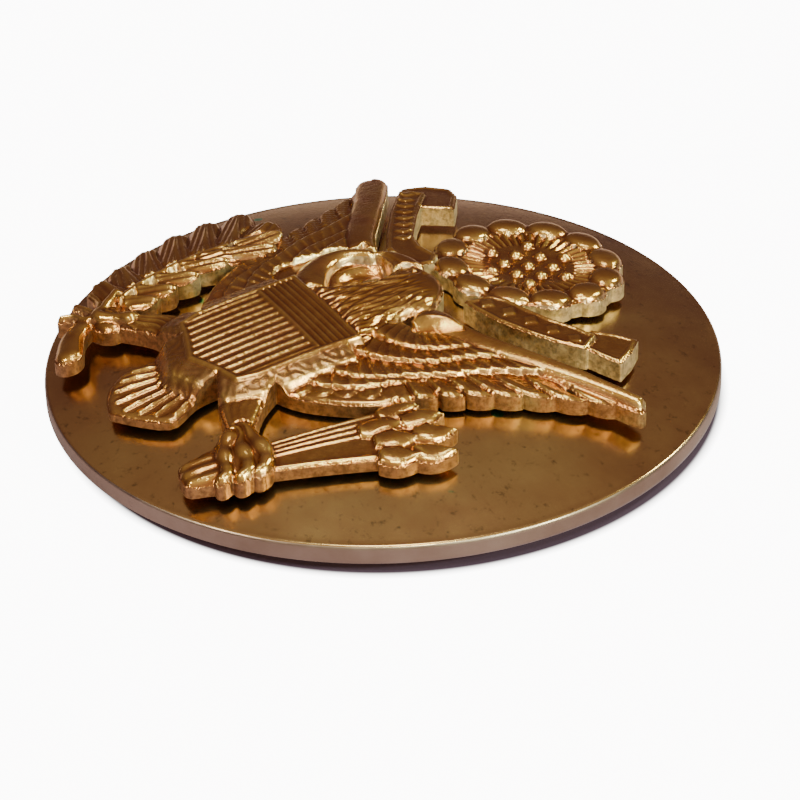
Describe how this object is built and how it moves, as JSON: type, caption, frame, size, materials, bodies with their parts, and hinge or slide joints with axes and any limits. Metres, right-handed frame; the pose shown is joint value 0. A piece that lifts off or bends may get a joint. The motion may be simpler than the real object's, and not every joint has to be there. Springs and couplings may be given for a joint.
{
  "type": "cap badge",
  "caption": "Round domed cap badge: a pierced relief eagle on a convex metal disc, fixed through the cap by a threaded post with washer and knurled nut, and kept from turning by locating pins.",
  "frame": {"origin": "on the disc's axis at the lower end of the screw post, the lowest point of the badge lying face up", "axes": "+Z out of the badge's face, +Y up the emblem from tail to glory, +X to the right of someone facing the badge"},
  "size_m": [0.0446, 0.0446, 0.0076],
  "materials": {
    "disc_brass": "satin brown patina on the face, greyer and brighter on the rim wall",
    "emblem_brass": "coppery gilt, polished on the high points, dark brown in the recesses, pale and grainy on the cut walls",
    "fitting_brass": "plain dull brass, turned",
    "solder": "dull grey solder"
  },
  "bodies": {
    "badge": {"backing_disc": "disc_brass", "eagle_emblem": "emblem_brass", "screw_post": "fitting_brass", "post_solder": "solder", "locating_pin_left": "fitting_brass", "locating_pin_right": "fitting_brass", "pin_solder_left": "solder", "pin_solder_right": "solder"},
    "washer": {"pressure_washer": "fitting_brass"},
    "nut": {"thumb_nut": "fitting_brass"}
  },
  "joints": [
    {"name": "washer_slide", "type": "slide", "parent": "badge", "child": "washer", "axis": [0, 0, 1], "range_m": [-0.00238, 0.0006]},
    {"name": "nut_spin", "type": "hinge", "parent": "washer", "child": "nut", "pos_m": [0, 0, 0.002], "axis": [0, 0, 1], "range_deg": [-1080, 270]}
  ],
  "couplings": [
    {"joint": "nut_spin", "follows": "washer_slide", "rad_per_m": 7915.8}
  ]
}
